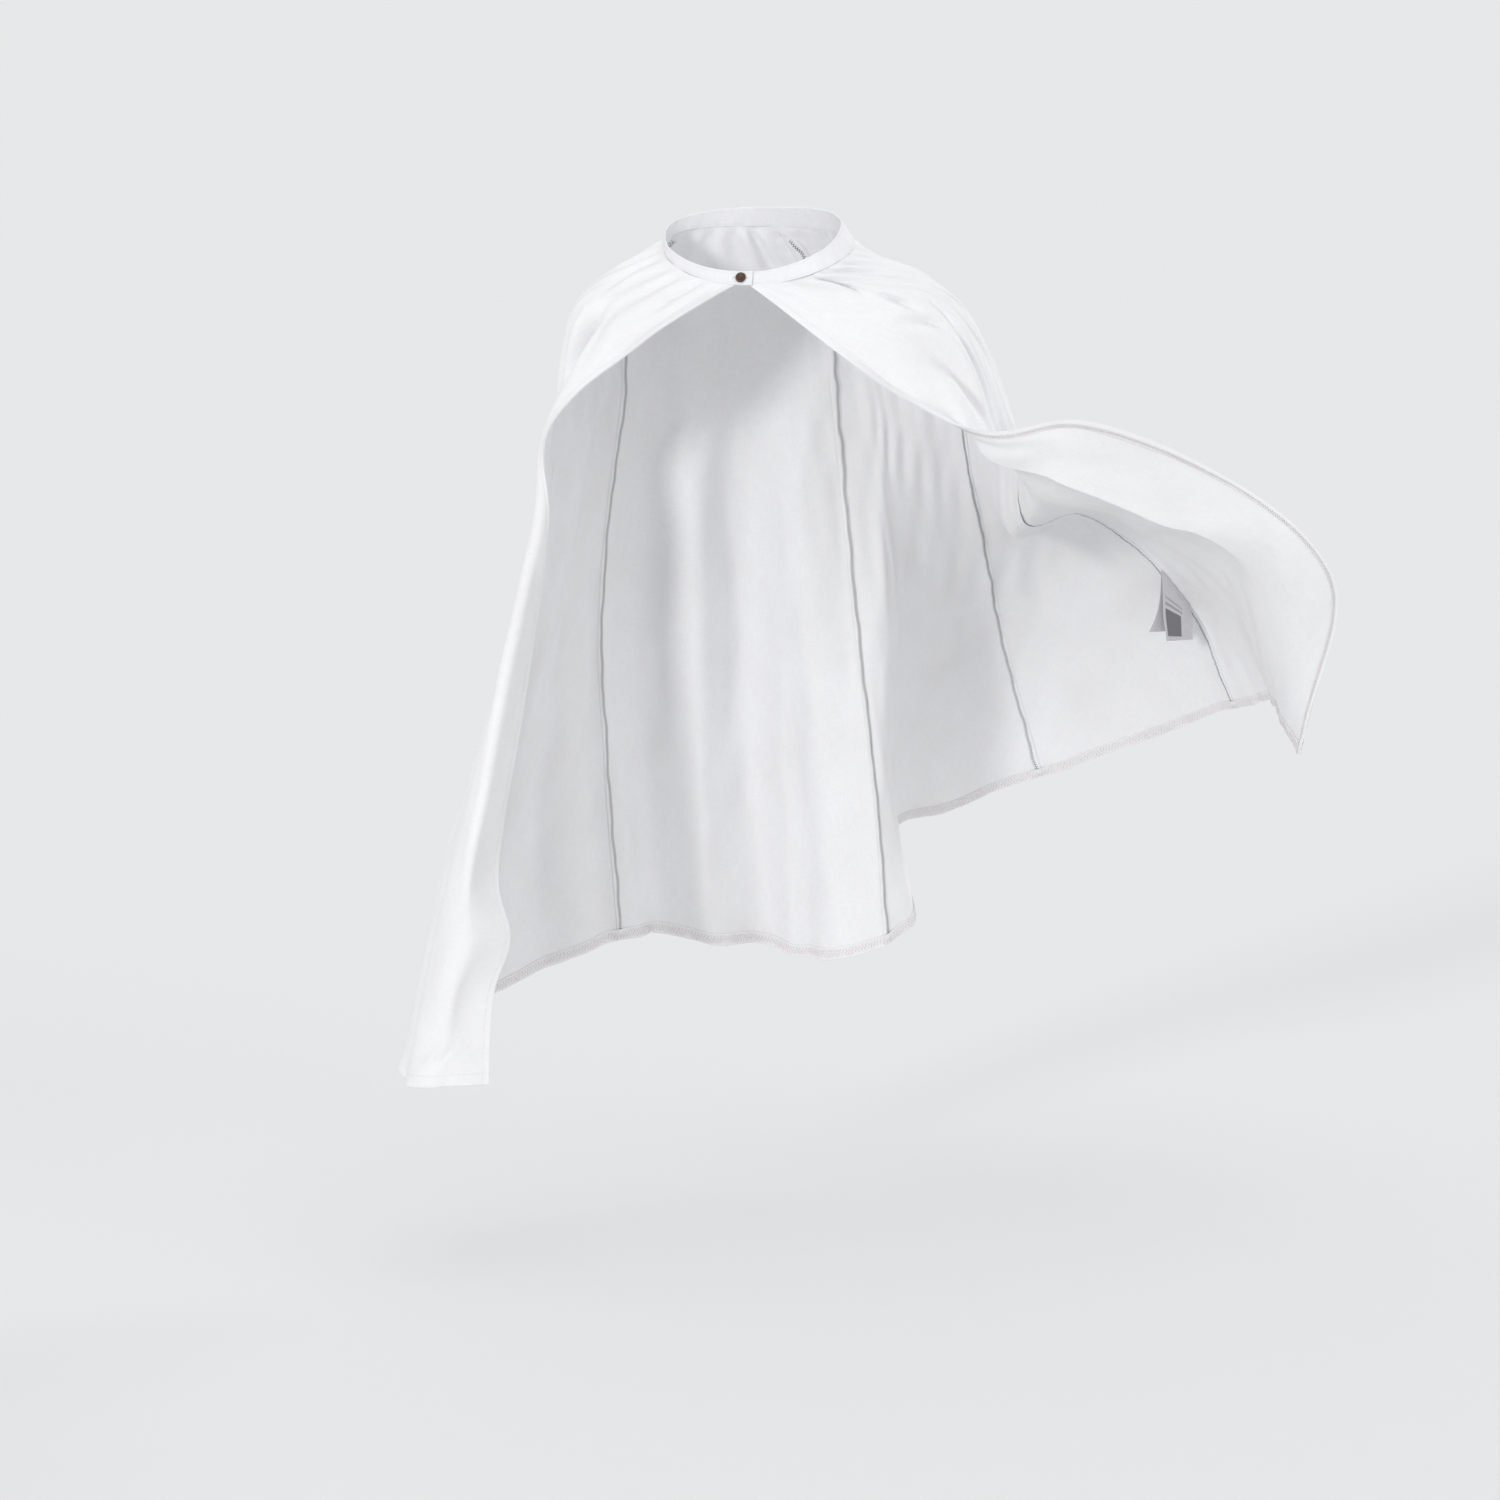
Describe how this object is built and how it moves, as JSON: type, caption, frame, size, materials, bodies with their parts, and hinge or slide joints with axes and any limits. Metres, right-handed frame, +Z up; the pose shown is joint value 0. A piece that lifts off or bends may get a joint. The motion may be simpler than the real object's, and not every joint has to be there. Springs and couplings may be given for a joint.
{
  "type": "templar cape",
  "caption": "White canvas cape of flared gores gathered onto a small stand collar with a button, worn open and blown to one side as a thin hollow shell.",
  "frame": {"origin": "centre of the neck ring that the collar is sewn on, where the cape is held up when worn", "axes": "+Z up, -Y towards the open front, +X towards the cape's own left side, which is blown out"},
  "size_m": [1.4262, 0.8032, 1.3043],
  "materials": {
    "canvas": "white plain-weave cotton canvas, matt",
    "collar_canvas": "white cotton canvas, doubled and topstitched",
    "dark_wood": "dark brown turned wood, satin",
    "label_satin": "white satin tape, blank"
  },
  "bodies": {
    "root": {"front_right": "canvas", "back_right": "canvas", "back_centre": "canvas", "back_left": "canvas", "front_left": "canvas", "collar": "collar_canvas", "button": "dark_wood", "care_label": "label_satin", "care_label_under": "label_satin"}
  },
  "joints": []
}
